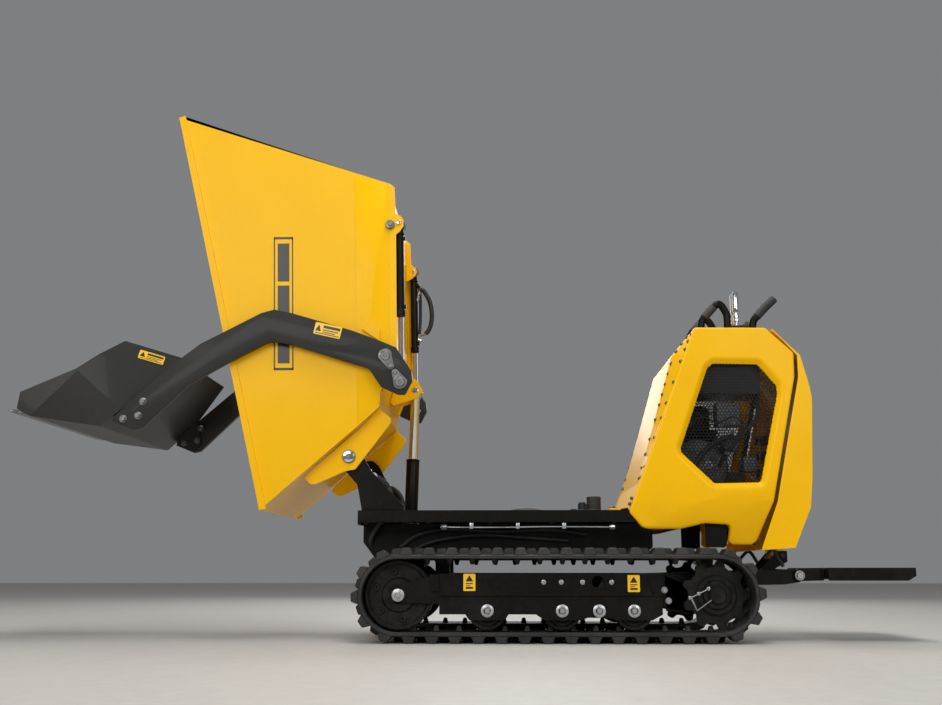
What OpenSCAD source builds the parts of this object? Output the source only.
/* [Overall] */
// Distance from the middle to each track's outer face
track_out = 370; // [350:1:380]
// Width of one rubber track
track_w = 180; // [160:5:180]
// Height of the deck's top face above the ground
deck_top = 415; // [410:1:420]

/* [Skip] */
// Half the width over the skip's side walls
skip_half = 326; // [310:1:326]
// Thickness of the skip's plates
skip_t = 4; // [3:1:5]

/* [Loader] */
// Half the width over the loader arms
arm_out = 360; // [352:1:362]
// Thickness of one arm
arm_t = 22; // [16:1:22]
// Half the width of the shovel at its lip
lip_half = 390; // [370:1:400]

/* [Console] */
// Half the width over the side panels
console_half = 290; // [270:1:292]
// Thickness of the sheet-metal panels
sheet_t = 3; // [2:0.5:4]

/* [Hidden] */
$fn = 48;

// Joint axes, as [y, z]; every one runs along X
skip_pivot = [-362, 589];
arm_pivot = [-240, 912];
arm_ram_pin = [-191, 825];
ram_top_pin = [-205, 1379];
tip_base = [-188, 130];
tip_eye = [-168, 850];
sprocket_axle = [812, 147];
idler_axle = [-190, 147];
roller_axles = [[91, 99], [326, 99], [551, 99]];
platform_pivot = [1108, 207];
cover_hinge = [1086, 271];

// Rubber track
track_in = track_out - track_w;
track_mid = track_out - track_w / 2;
frame_low = 166;
frame_top = 214;
window_hole = [439, 188];
belt_inner = 112;
belt_t = 13;
lug_h = sprocket_axle[1] - belt_inner - belt_t;
track_run = sprocket_axle[0] - idler_axle[0];
pitch_r = belt_inner + belt_t / 2;
links = 38;
pitch = (2 * track_run + 2 * PI * pitch_r) / links;

// Skip outline, from the upper rim corner round the floor to the lower rim corner
rim_top = [-976, 1768];
rim_low = [-643, 414];
skip_walls = [rim_top, [-252, 1523], [-238, 1508], [-223, 941], [-259, 800], [-261, 751],
    [-330, 687], rim_low];
// The side plates stand a little past the floor and carry the rams' upper lugs
skip_side = [rim_top, [-236, 1518], [-222, 1506], [-217, 1412], [-200, 1404], [-190, 1390], [-190, 1368],
    [-200, 1350], [-214, 1338], [-206, 941], [-259, 800], [-261, 751], [-330, 687], rim_low];

function unit(v) = v / norm(v);
function left_of(a, b) = let (d = unit(b - a)) [-d[1], d[0]];
function corner(p, n1, n2, t) = p + t * (n1 + n2) / (1 + n1 * n2);
// The path moved t to its left
function beside(p, t) = let (n = len(p) - 1) [for (i = [0 : n])
    corner(p[i], left_of(p[max(i - 1, 0)], p[max(i, 1)]), left_of(p[min(i, n - 1)], p[min(i + 1, n)]), t)];
function back(p) = [for (i = [len(p) - 1 : -1 : 0]) p[i]];
function band(p, t) = concat(p, back(beside(p, t)));

// Draws a side-view outline and gives it a thickness along X
module plate(x0, t) {
    translate([x0, 0, 0]) rotate([90, 0, 90]) linear_extrude(t) children();
}

// Round bar along X at side-view point p
module bar(p, r, x0, x1) {
    translate([x0, p[0], p[1]]) rotate([0, 90, 0]) cylinder(r = r, h = x1 - x0);
}

// Round bar between two side-view points at one x
module rod_between(x, a, b, r) {
    d = b - a;
    translate([x, a[0], a[1]]) rotate([-atan2(d[0], d[1]), 0, 0]) cylinder(r = r, h = norm(d));
}

module both() {
    children();
    mirror([1, 0, 0]) children();
}

module side(s) {
    if (s > 0) children();
    else mirror([1, 0, 0]) children();
}

module block(x0, x1, y0, y1, z0, z1) {
    translate([x0, y0, z0]) cube([x1 - x0, y1 - y0, z1 - z0]);
}

// Flat plate between corner points, t thick
module panel(points, t) {
    hull() for (p = points) translate(p) cube(t, center = true);
}

// Points of a ring of radius r round point i of a route that runs mostly across x
function ring(route, i, r, sides) =
    let (a = route[max(i - 1, 0)], b = route[min(i + 1, len(route) - 1)], d = unit(b - a),
        u = unit(cross(d, [1, 0, 0])), v = cross(d, u))
    [for (k = [0 : sides - 1]) route[i] + r * (cos(360 * k / sides) * u + sin(360 * k / sides) * v)];

module tube(route, r, sides = 10) {
    n = len(route);
    points = [for (i = [0 : n - 1]) each ring(route, i, r, sides)];
    walls = [for (i = [0 : n - 2], k = [0 : sides - 1]) let (a = i * sides + k,
        b = i * sides + (k + 1) % sides) each [[a, a + sides, b], [b, a + sides, b + sides]]];
    caps = [for (k = [1 : sides - 2]) each [[0, k, k + 1],
        [(n - 1) * sides, (n - 1) * sides + k + 1, (n - 1) * sides + k]]];
    polyhedron(points, concat(walls, caps));
}

// ---- Chassis ----

belly = [[-326, 376], [-326, 316], [-285, 262], [600, 262], [640, 300], [640, 376]];

module deck_frame() {
    half = 285;
    skin = 6;
    color("#26282a") difference() {
        union() {
            block(-half, half, -330, 640, deck_top - skin, deck_top);
            both() block(half - 40, half, -330, 640, 376, deck_top - skin);
            block(-half + 40, half - 40, -330, -290, 376, deck_top - skin);
            block(-half + 40, half - 40, 600, 640, 376, deck_top - skin);
            // Belly box below the deck
            both() plate(150, 8) polygon(belly);
            plate(-150, 300) polygon(band(belly, 6));
            // Hangers for the lift ram's foot
            both() plate(31, 12) polygon([[-240, 268], [-215, 108], [-161, 108], [-120, 268]]);
        }
        block(-75, 75, -270, -34, 380, deck_top + 1);
        block(-30.5, 30.5, -255, -80, 200, 300);
        bar(tip_base, 12.05, -60, 60);
    }
}

module cross_tubes() {
    color("#2b2d2f") for (y = [-60, 640]) {
        block(-225, 225, y - 24, y + 24, frame_low, frame_top);
        both() block(110, 150, y - 24, min(y + 24, 598), frame_top, 262);
    }
}

// Plate beside the rollers, which carries their axles
skirt = [[-60, 166], [-60, 88], [22, 88], [34, 70], [146, 70], [158, 88], [244, 88], [270, 70], [382, 70],
    [406, 78], [471, 78], [495, 70], [607, 70], [640, 88], [640, 166]];

module track_frame() {
    color("#232527") difference() {
        union() {
            block(225, 334, -60, 640, frame_low, frame_top);
            for (x0 = [226, 322]) plate(x0, 12) polygon([[-215, 125], [-60, 120], [-60, frame_top],
                [-215, 170]]);
            for (x0 = [226, 326]) plate(x0, 8) polygon(skirt);
            plate(226, 14) polygon([[640, 110], [790, 80], [790, 214], [640, frame_top]]);
        }
        for (p = roller_axles) bar(p, 14.92, 200, 350);
        bar(idler_axle, 14.92, 200, 350);
        bar(sprocket_axle, 58.1, 200, 250);
        bar(window_hole, 19, 200, 350);
    }
}

module track_covers() {
    color("#17181a") both() difference() {
        plate(334, 6) polygon([[-60, frame_top], [600, frame_top], [640, 148], [-60, 148]]);
        bar(window_hole, 19, 330, 350);
    }
}

// Place on the track's outside at length s round it: [y, z, turn]
function on_track(s, r) =
    let (arc = PI * pitch_r, a = s % (2 * track_run + 2 * arc))
    a < track_run ? [idler_axle[0] + a, idler_axle[1] - r, 0]
    : a < track_run + arc ? let (t = (a - track_run) / pitch_r * 180 / PI)
        [sprocket_axle[0] + r * sin(t), sprocket_axle[1] - r * cos(t), t]
    : a < 2 * track_run + arc ? [sprocket_axle[0] - (a - track_run - arc), sprocket_axle[1] + r, 180]
    : let (t = (a - 2 * track_run - arc) / pitch_r * 180 / PI)
        [idler_axle[0] - r * sin(t), idler_axle[1] + r * cos(t), 180 + t];

module loop(r) {
    hull() for (p = [idler_axle, sprocket_axle]) translate(p) circle(r, $fn = 72);
}

module rubber_track() {
    foot = 23;
    top = 14;
    color("#202122") plate(track_in, track_w) difference() {
        union() {
            loop(belt_inner + belt_t);
            for (i = [0 : links - 1]) let (p = on_track((i + 0.5) * pitch, belt_inner + belt_t - 2))
                translate([p[0], p[1]]) rotate(p[2])
                    polygon([[-foot, 2], [foot, 2], [foot, 0], [top, -lug_h - 2], [-top, -lug_h - 2],
                        [-foot, 0]]);
        }
        loop(belt_inner);
    }
    // Guide horns on the lower run
    color("#202122") for (i = [1 : 12]) let (p = on_track(i * pitch + 10, belt_inner))
        plate(track_mid - 9, 18) translate([p[0], p[1]])
            polygon([[-13, -2], [13, -2], [7, 20], [-7, 20]]);
}

module drive_motors() {
    color("#2a2c2e") both() {
        bar(sprocket_axle, 58, 188, 262);
        block(196, 225, 760, 864, 95, 199);
    }
}

module towers() {
    color("#1d1f21") both() difference() {
        union() {
            plate(266, 12) polygon([[-318, deck_top], [-334, 498], [-388, 560], [-400, 590], [-394, 614],
                [-374, 630], [-350, 630], [-328, 612], [-300, 562], [-286, 540], [-181, 431],
                [-181, deck_top]]);
            block(228, 266, -318, -181, deck_top, deck_top + 10);
            block(228, 266, -312, -302, deck_top + 10, 520);
            block(246, 266, -392, -332, 574, 604);
        }
        bar(skip_pivot, 12.05, 200, 320);
    }
}

module skip_buffers() {
    color("#161718") both() {
        translate([205, 443, deck_top]) cylinder(r = 25, h = 48);
        translate([205, 404, deck_top]) cylinder(r = 13, h = 30);
        translate([150, 221, deck_top]) cylinder(r = 60, h = 16);
    }
}

module deck_pipe() {
    color("#b5b7b8") translate([273, -50, 361]) rotate([-90, 0, 0]) cylinder(r = 7, h = 545);
    color("#8d9092") for (y = [-62, 483]) translate([273, y, 361]) rotate([-90, 0, 0])
        cylinder(r = 12, h = 24, $fn = 6);
}

// ---- Engine bay ----

module engine_block() {
    color("#3a3d40") {
        block(-130, 90, 700, 900, 420, 600);
        block(-110, 70, 720, 880, 600, 700);
        for (z = [610 : 16 : 690]) block(-125, 85, 712, 888, z, z + 6);
        block(-150, 110, 690, 910, 408, 420);
    }
}

module fan_shroud() {
    color("#26282a") difference() {
        bar([800, 560], 105, 93, 150);
        bar([800, 560], 70, 140, 151);
    }
}

module muffler() {
    color("#7b7d7e") {
        translate([-190, 720, 640]) rotate([-90, 0, 0]) cylinder(r = 48, h = 170);
        translate([-190, 800, 688]) cylinder(r = 14, h = 60);
    }
}

module air_cleaner() {
    color("#1e2022") translate([-60, 815, 704]) cylinder(r = 72, h = 88);
    color("#1e2022") translate([-60, 815, 792]) cylinder(r = 12, h = 16);
}

module fuel_tank() {
    color("#15171a") {
        block(80, 250, 800, 1000, 800, 930);
        translate([165, 900, 930]) cylinder(r = 30, h = 22);
    }
}

module hydraulic_tank() {
    color("#232527") {
        block(-270, -165, 660, 900, 420, 560);
        translate([-218, 700, 560]) cylinder(r = 22, h = 20);
    }
}

module gear_pump() {
    color("#8f9294") {
        block(-110, 10, 905, 990, 470, 560);
        translate([-50, 900, 515]) rotate([-90, 0, 0]) cylinder(r = 30, h = 5);
    }
}

module control_valve() {
    color("#6d7072") {
        block(-70, 70, 950, 1020, 930, 1000);
        for (x = [-44, 0, 44]) translate([x, 985, 918]) cylinder(r = 11, h = 12);
    }
}

// ---- Console ----

panel_outline = [[782, 1018], [548, 408], [590, 360], [609, 354], [715, 354], [795, 373], [878, 368],
    [872, 314], [883, 305], [959, 305], [1016, 441], [1106, 849], [1108, 930], [1018, 1016]];
window = [[842, 896], [823, 881], [725, 614], [728, 600], [830, 501], [979, 504], [1047, 790],
    [1046, 820], [988, 892]];

module side_panel() {
    color("#f0b400") difference() {
        plate(console_half - sheet_t, sheet_t) polygon(panel_outline);
        plate(console_half - 10, 20) polygon(window);
    }
}

module grilles() {
    mesh_pitch = 46;
    color("#17181a") both() plate(console_half - sheet_t - 6, 6) difference() {
        polygon([[835, 908], [810, 890], [712, 612], [716, 592], [824, 489], [990, 492], [1060, 790],
            [1058, 826], [994, 904]]);
        for (y = [745 : mesh_pitch : 1030], z = [530 : mesh_pitch : 880])
            if (y > 745 + (z < 600 ? (600 - z) : (z - 600) * 0.37) && y < 985 + (z - 504) * 0.2
                && z < 860) translate([y, z]) circle(16, $fn = 6);
    }
}

module front_panel() {
    color("#d89f00") {
        plate(-console_half + sheet_t, 2 * (console_half - sheet_t)) polygon(band([[776, 1010],
            [549, deck_top + 1]], -3));
        block(-260, 260, 553, 590, deck_top + 1, deck_top + 7);
    }
}

module top_panel() {
    color("#f0b400") difference() {
        block(-console_half + sheet_t, console_half - sheet_t, 790, 1012, 1010, 1013);
        block(-45, 45, 945, 1022, 1000, 1020);
    }
}

// Bent bars standing on the top panel: closed hoops, and open grips behind them
hoop = [[120, 838, 1013], [120, 838, 1050], [120, 839, 1068], [120, 846, 1084], [120, 890, 1134],
    [120, 901, 1140], [120, 911, 1134], [120, 927, 1106], [120, 930, 1092], [120, 930, 1060],
    [120, 930, 1013]];
grip = [[190, 1000, 1013], [190, 1000, 1040], [190, 1003, 1058], [190, 1012, 1072], [190, 1050, 1112],
    [190, 1082, 1142]];

module grab_handles() {
    color("#141516") both() {
        tube(hoop, 11, 12);
        tube(grip, 12, 12);
    }
}

module lever_boot() {
    color("#131415") difference() {
        union() {
            for (i = [0 : 4]) block(-58 + 4 * i, 58 - 4 * i, 924 + 4 * i, 1046 - 4 * i,
                1013 + 14 * i, 1013 + 14 * i + 14);
        }
        block(-34, 34, 950, 1020, 1000, 1100);
    }
}

module rear_cover() {
    shell = [[968, 287], [1075, 294], [1132, 423], [1143, 522], [1157, 777], [1152, 815], [1127, 921],
        [1040, 1010]];
    edge = [[1117, 921], [1117, 849], [1027, 441], [972, 300]];
    color("#f0b400") difference() {
        union() {
            plate(-console_half, 2 * console_half) polygon(band(shell, 3));
            both() plate(console_half - 3, 3) polygon(concat(shell, edge));
            plate(-60, 120) polygon([[1060, 293], [1072, 262], [1100, 262], [1100, 290], [1078, 296]]);
        }
        bar(cover_hinge, 6.05, -100, 100);
        for (z = [579, 643, 701]) both() translate([0, 1100, z - 16]) translate([225, 0, 0])
            cube([22, 80, 32]);
    }
}

// ---- Rear platform ----

module platform_brackets() {
    x = 172;
    color("#1b1c1e") both() difference() {
        plate(x, 12) polygon([[664, frame_low], [664, frame_top], [900, 222], [1060, 226], [1108, 229],
            [1128, 219], [1128, 195], [1108, 185], [1060, 178], [940, 176]]);
        bar(platform_pivot, 11.05, 150, 260);
    }
    color("#1b1c1e") {
        block(-x, x, 1006, 1012, 182, 224);
        both() difference() {
            plate(64, 8) polygon([[1012, 190], [1066, 232], [1104, 252], [1104, 288], [1070, 288],
                [1012, 224]]);
            bar(cover_hinge, 6.05, 50, 100);
        }
        both() bar(cover_hinge, 5.98, 30, 76);
    }
}

module platform_tread() {
    color("#141516") {
        difference() {
            union() {
                block(-250, 250, 1186, 1465, 226, 232);
                both() plate(244, 6) polygon([[1186, 226], [1186, 191], [1440, 191], [1465, 206],
                    [1465, 226]]);
                block(-244, 244, 1459, 1465, 206, 226);
                block(-244, 244, 1186, 1192, 196, 226);
                both() plate(186, 12) polygon([[1092, 195], [1092, 219], [1104, 229], [1186, 226],
                    [1186, 191], [1104, 189]]);
            }
            bar(platform_pivot, 11, 186, 230);
        }
        both() bar(platform_pivot, 11, 172, 202);
    }
}

module lever(x) {
    color("#c9cbcc") {
        rod_between(x, [985, 1040], [985, 1160], 6);
        translate([x, 985, 1106]) cylinder(r = 12, h = 24, $fn = 6);
        translate([x, 985, 1160]) cylinder(r = 9, h = 50);
        bar([985, 1040], 9, x - 8, x + 8);
    }
}

module frame_bolts() {
    color("#b9bbbc") both() {
        for (p = [[140, 196], [210, 196], [380, 196], [500, 196]]) bar(p, 9, 340, 346);
        for (p = concat(roller_axles, [idler_axle])) {
            bar(p, 14.9, 222, 340);
            bar(p, 20, 340, 348);
        }
        for (y = [-288, -205], x = [237, 257]) translate([x, y, deck_top + 10])
            cylinder(r = 7, h = 8, $fn = 6);
    }
}

hose_route = [[214, -226, 415], [214, -226, 432], [214, -228, 456], [215, -233, 480], [218, -243, 501],
    [226, -256, 514], [238, -268, 522], [249, -277, 526], [262, -283, 527]];

module tower_hoses() {
    color("#141516") both() tube(hose_route, 9);
}

// ---- Skip ----

module skip_shell() {
    rim = 22;
    back_way = unit(skip_walls[1] - rim_top);
    front_way = unit(skip_walls[6] - rim_low);
    color("#f5b800") difference() {
        union() {
            plate(-skip_half, 2 * skip_half) polygon(band(skip_walls, -skip_t));
            both() plate(skip_half - skip_t, skip_t) polygon(skip_side);
            // Folded rim
            both() plate(skip_half - skip_t, 8) polygon(band([rim_top, rim_low], rim));
            plate(-skip_half, 2 * skip_half) polygon(band([rim_top, rim_top + rim * back_way], -8));
            plate(-skip_half, 2 * skip_half) polygon(band([rim_low + rim * front_way, rim_low], -8));
        }
        both() bar(ram_top_pin, 8.05, 300, 340);
    }
}

module hinge_lugs() {
    color("#f5b800") both() difference() {
        union() {
            plate(280, 12) polygon([[-506, 519], [-486, 499], [-470, 499], [-375, 541], [-340, 548],
                [-226, 700], [-226, 716], [-264, 748], [-330, 680], [-494, 537]]);
        }
        bar(skip_pivot, 12.05, 200, 320);
    }
    color("#f5b800") both() difference() {
        plate(24, 12) polygon([[-221, 930], [-228, 912], [-255, 808], [-245, 796], [-160, 822],
            [-140, 850], [-160, 884]]);
        bar(tip_eye, 12, 0, 60);
    }
}

module cylinder_brackets() {
    color("#f5b800") both() difference() {
        plate(283, 6) polygon([[-235, 1409], [-210, 1404], [-196, 1394], [-190, 1379], [-196, 1364],
            [-210, 1350], [-233, 1338]]);
        bar(ram_top_pin, 8.05, 280, 320);
    }
}

module skip_pins() {
    color("#c9cbcc") both() {
        bar(skip_pivot, 11.98, 246, 300);
        bar(skip_pivot, 19, 292, 300);
        bar(arm_pivot, 16, skip_half, arm_out + 2);
        bar(ram_top_pin, 7.99, 283, 332);
        bar([-234, 1371], 12, skip_half, skip_half + 7);
        bar(tip_eye, 11.98, 24, 36);
    }
}

// ---- Loader ----

arm_outline = [[-1043, 797], [-921, 903], [-853, 956], [-655, 1059], [-612, 1071], [-552, 1058],
    [-348, 997], [-246, 958], [-205, 940], [-154, 861], [-151, 831], [-174, 785], [-198, 785],
    [-254, 811], [-295, 872], [-549, 952], [-610, 963], [-635, 958], [-752, 897], [-886, 820],
    [-1032, 677], [-1058, 671], [-1129, 700], [-1122, 718]];

module arm() {
    color("#3b3d3f") plate(arm_out - arm_t, arm_t) difference() {
        polygon(arm_outline);
        translate(arm_pivot) circle(16.05);
    }
}

lip = [-1465, 729];
heel = [-1170, 687];
knee = [-1045, 797];
crest = [-937, 922];

module shovel() {
    t = 6;
    color("#4a4c4e") difference() {
        union() {
            panel([for (s = [-1, 1]) each [[s * (lip_half - 5), lip[0] + 75, lip[1] - 11],
                [s * 360, heel[0], heel[1]]]], t);
            panel([for (s = [-1, 1]) each [[s * 360, heel[0], heel[1]],
                [s * 330, knee[0], knee[1]]]], t);
            panel([for (s = [-1, 1]) each [[s * 330, knee[0], knee[1]],
                [s * 272, crest[0], crest[1]]]], t);
            both() shovel_side(t);
        }
        // The sides are cut back where the arms lie against them
        both() plate(arm_out - arm_t, arm_t + 10) offset(delta = 0.5) polygon(arm_outline);
    }
    // Ears that the arms bolt to
    color("#4a4c4e") both() plate(arm_out - arm_t - 12, 12) polygon([[-1046, 790], [-1030, 700],
        [-1056, 676], [-1120, 702], [-1130, 726]]);
}

// Three facets from the floor up to the crest
module shovel_side(t) {
    low_front = [387, -1390, 718];
    rim = [[378, -1250, 868], [360, -1181, 921], [325, -1114, 970]];
    waist = [355, -1110, 740];
    panel([low_front, [387, -1430, 741], [387, -1424, 790], rim[0], waist, [360, heel[0], heel[1]]], t);
    panel([rim[0], rim[1], [330, knee[0], knee[1]], waist], t);
    panel([rim[1], rim[2], [272, crest[0], crest[1]], [330, knee[0], knee[1]]], t);
}

module cutting_edge() {
    color("#6f7274") panel([for (s = [-1, 1]) each [[s * (lip_half - 13), lip[0] + 4, lip[1] + 5],
        [s * (lip_half - 13), lip[0] + 65, lip[1] - 3]]], 8);
}

// Pear-shaped keeper between a pin and its small bolt
module keeper(pin, bolt) {
    color("#c9cbcc") plate(arm_out, 5) difference() {
        hull() {
            translate(pin) circle(24, $fn = 32);
            translate(bolt) circle(11, $fn = 32);
        }
        translate(pin) circle(16.5);
    }
}

module arm_pins() {
    both() {
        keeper(arm_pivot, [-222, 876]);
        keeper(arm_ram_pin, [-207, 856]);
        color("#c9cbcc") bar(arm_ram_pin, 16, 327, 338);
        color("#c9cbcc") bar([-222, 876], 7, arm_out + 5, arm_out + 10);
        color("#c9cbcc") bar([-207, 856], 7, arm_out + 5, arm_out + 10);
    }
}

module shovel_bolts() {
    color("#c9cbcc") both() for (p = [[-1032, 765], [-1045, 718], [-1094, 708]]) {
        bar(p, 14, arm_out, arm_out + 9);
        bar(p, 14, arm_out - arm_t - 21, arm_out - arm_t - 12);
    }
}

// ---- Rams ----

ram_x = 305;
ram_axis = arm_ram_pin - ram_top_pin;
ram_dir = unit(ram_axis);

module loader_barrel() {
    color("#17181a") difference() {
        union() {
            rod_between(ram_x, ram_top_pin + 14 * ram_dir, ram_top_pin + 320 * ram_dir, 14);
            rod_between(ram_x, ram_top_pin + 300 * ram_dir, ram_top_pin + 320 * ram_dir, 15);
            bar(ram_top_pin, 17, ram_x - 11, ram_x + 11);
        }
        rod_between(ram_x, ram_top_pin + 40 * ram_dir, ram_top_pin + 330 * ram_dir, 9.05);
        bar(ram_top_pin, 8.03, ram_x - 20, ram_x + 20);
    }
}

module loader_rod() {
    color("#d4d6d7") difference() {
        union() {
            rod_between(ram_x, ram_top_pin + 200 * ram_dir, arm_ram_pin - 12 * ram_dir, 9);
            bar(arm_ram_pin, 18, ram_x - 11, ram_x + 11);
        }
        bar(arm_ram_pin, 14, ram_x - 20, ram_x + 20);
    }
}

tip_dir = unit(tip_eye - tip_base);
tip_len = norm(tip_eye - tip_base);

// Places along the lift ram from its foot, in the raised position
barrel_end = 255;
stage_start = 236;
stage_end = 478;
rod_start = 459;

function tip_at(d) = tip_base + d * tip_dir;

module tip_barrel() {
    color("#17181a") difference() {
        union() {
            rod_between(0, tip_base, tip_at(barrel_end), 29);
            bar(tip_base, 26, -22, 22);
        }
        rod_between(0, tip_at(18), tip_at(barrel_end + 10), 23.05);
    }
    color("#17181a") both() bar(tip_base, 11.98, 20, 46);
}

module tip_stage() {
    color("#cfd1d2") difference() {
        rod_between(0, tip_at(stage_start), tip_at(stage_end), 23);
        rod_between(0, tip_at(stage_start + 6), tip_at(stage_end + 10), 16.05);
    }
}

module tip_rod() {
    color("#cfd1d2") difference() {
        union() {
            rod_between(0, tip_at(rod_start), tip_at(tip_len - 16), 16);
            bar(tip_eye, 24, -18, 18);
        }
        bar(tip_eye, 14, -40, 40);
    }
}

// ---- Running gear ----

module sprocket() {
    teeth = 9;
    color("#2f3133") {
        difference() {
            plate(296, 16) difference() {
                union() {
                    circle_at(sprocket_axle, 92);
                    for (i = [0 : teeth - 1]) translate(sprocket_axle) rotate(i * 360 / teeth)
                        polygon([[80, -19], [108, -9], [108, 9], [80, 19]]);
                }
                for (i = [0 : 5]) translate(sprocket_axle) rotate(i * 60) translate([66, 0]) circle(11);
            }
        }
        bar(sprocket_axle, 44, 264, 336);
        bar(sprocket_axle, 27, 336, 350);
    }
}

module circle_at(p, r) {
    translate(p) circle(r);
}

function polar(r, turn) = r * [cos(turn), sin(turn)];

// Two discs on a hub, turning on a pin
module double_wheel(p, r, hub, bore) {
    color("#303234") difference() {
        union() {
            bar(p, r, 240, 262);
            bar(p, r, 298, 320);
            bar(p, hub, 262, 298);
        }
        bar(p, bore, 200, 350);
        bar(p, r * 0.66, 311, 330);
    }
    color("#303234") difference() {
        bar(p, bore + 9, 300, 320);
        bar(p, bore, 200, 350);
    }
}

module idler() {
    difference() {
        double_wheel(idler_axle, 108, 60, 14.96);
        for (i = [0 : 5]) bar(idler_axle + polar(84, 60 * i - 49), 16, 230, 330);
    }
}

module ground_roller(i) {
    double_wheel(roller_axles[i], 61, 34, 14.96);
}

deck_frame();
cross_tubes();
side(1) track_frame();  // track_frame_left
side(-1) track_frame();  // track_frame_right
track_covers();
side(1) rubber_track();  // rubber_track_left
side(-1) rubber_track();  // rubber_track_right
drive_motors();
towers();
skip_buffers();
deck_pipe();
engine_block();
fan_shroud();
muffler();
air_cleaner();
fuel_tank();
hydraulic_tank();
gear_pump();
control_valve();
side(1) side_panel();  // side_panel_left
side(-1) side_panel();  // side_panel_right
grilles();
front_panel();
top_panel();
grab_handles();
lever_boot();
platform_brackets();
frame_bolts();
tower_hoses();
rear_cover();
platform_tread();
lever(17);  // lever_left
lever(-17);  // lever_right
skip_shell();
hinge_lugs();
cylinder_brackets();
skip_pins();
side(1) arm();  // arm_left
side(-1) arm();  // arm_right
shovel();
cutting_edge();
arm_pins();
shovel_bolts();
side(1) loader_barrel();  // loader_barrel_left
side(-1) loader_barrel();  // loader_barrel_right
side(1) loader_rod();  // loader_rod_left
side(-1) loader_rod();  // loader_rod_right
tip_barrel();
tip_stage();
tip_rod();
side(1) sprocket();  // sprocket_left
side(-1) sprocket();  // sprocket_right
side(1) idler();  // idler_left
side(-1) idler();  // idler_right
side(1) ground_roller(0);  // roller_left_1
side(1) ground_roller(1);  // roller_left_2
side(1) ground_roller(2);  // roller_left_3
side(-1) ground_roller(0);  // roller_right_1
side(-1) ground_roller(1);  // roller_right_2
side(-1) ground_roller(2);  // roller_right_3
